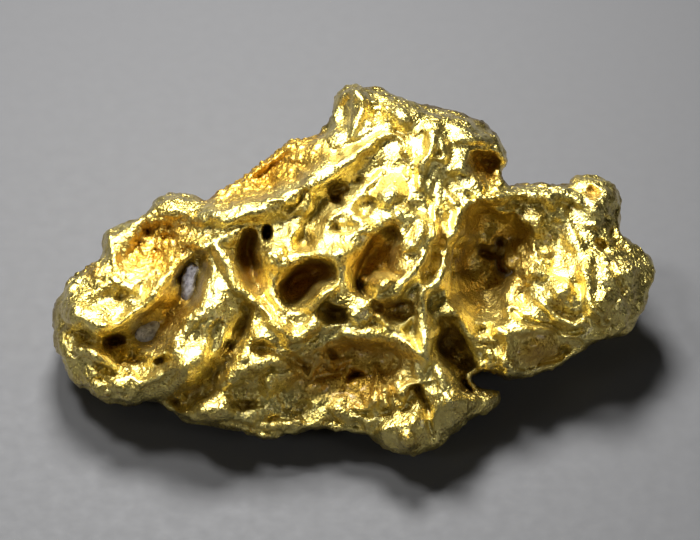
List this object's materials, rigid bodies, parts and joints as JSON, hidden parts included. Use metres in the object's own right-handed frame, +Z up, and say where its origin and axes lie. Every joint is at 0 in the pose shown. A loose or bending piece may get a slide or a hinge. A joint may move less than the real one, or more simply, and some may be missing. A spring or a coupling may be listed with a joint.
{
  "type": "gold nugget",
  "caption": "Natural gold nugget 20 mm long, one lumpy, pitted body with two grains of quartz held in its hollows.",
  "frame": {"origin": "middle of the nugget's footprint, on the surface that it lies on", "axes": "+X along the nugget's length towards the lobe with the through hole, +Z up, the broad pitted face looks up and towards -Y"},
  "size_m": [0.02, 0.0138, 0.0068],
  "materials": {
    "gold": "naturally worn native gold, bright on the ridges and stained orange-brown in the hollows",
    "quartz": "milky fractured quartz, slightly translucent"
  },
  "bodies": {
    "root": {"gold_nugget": "gold", "quartz_grain_upper": "quartz", "quartz_grain_lower": "quartz"}
  },
  "joints": []
}
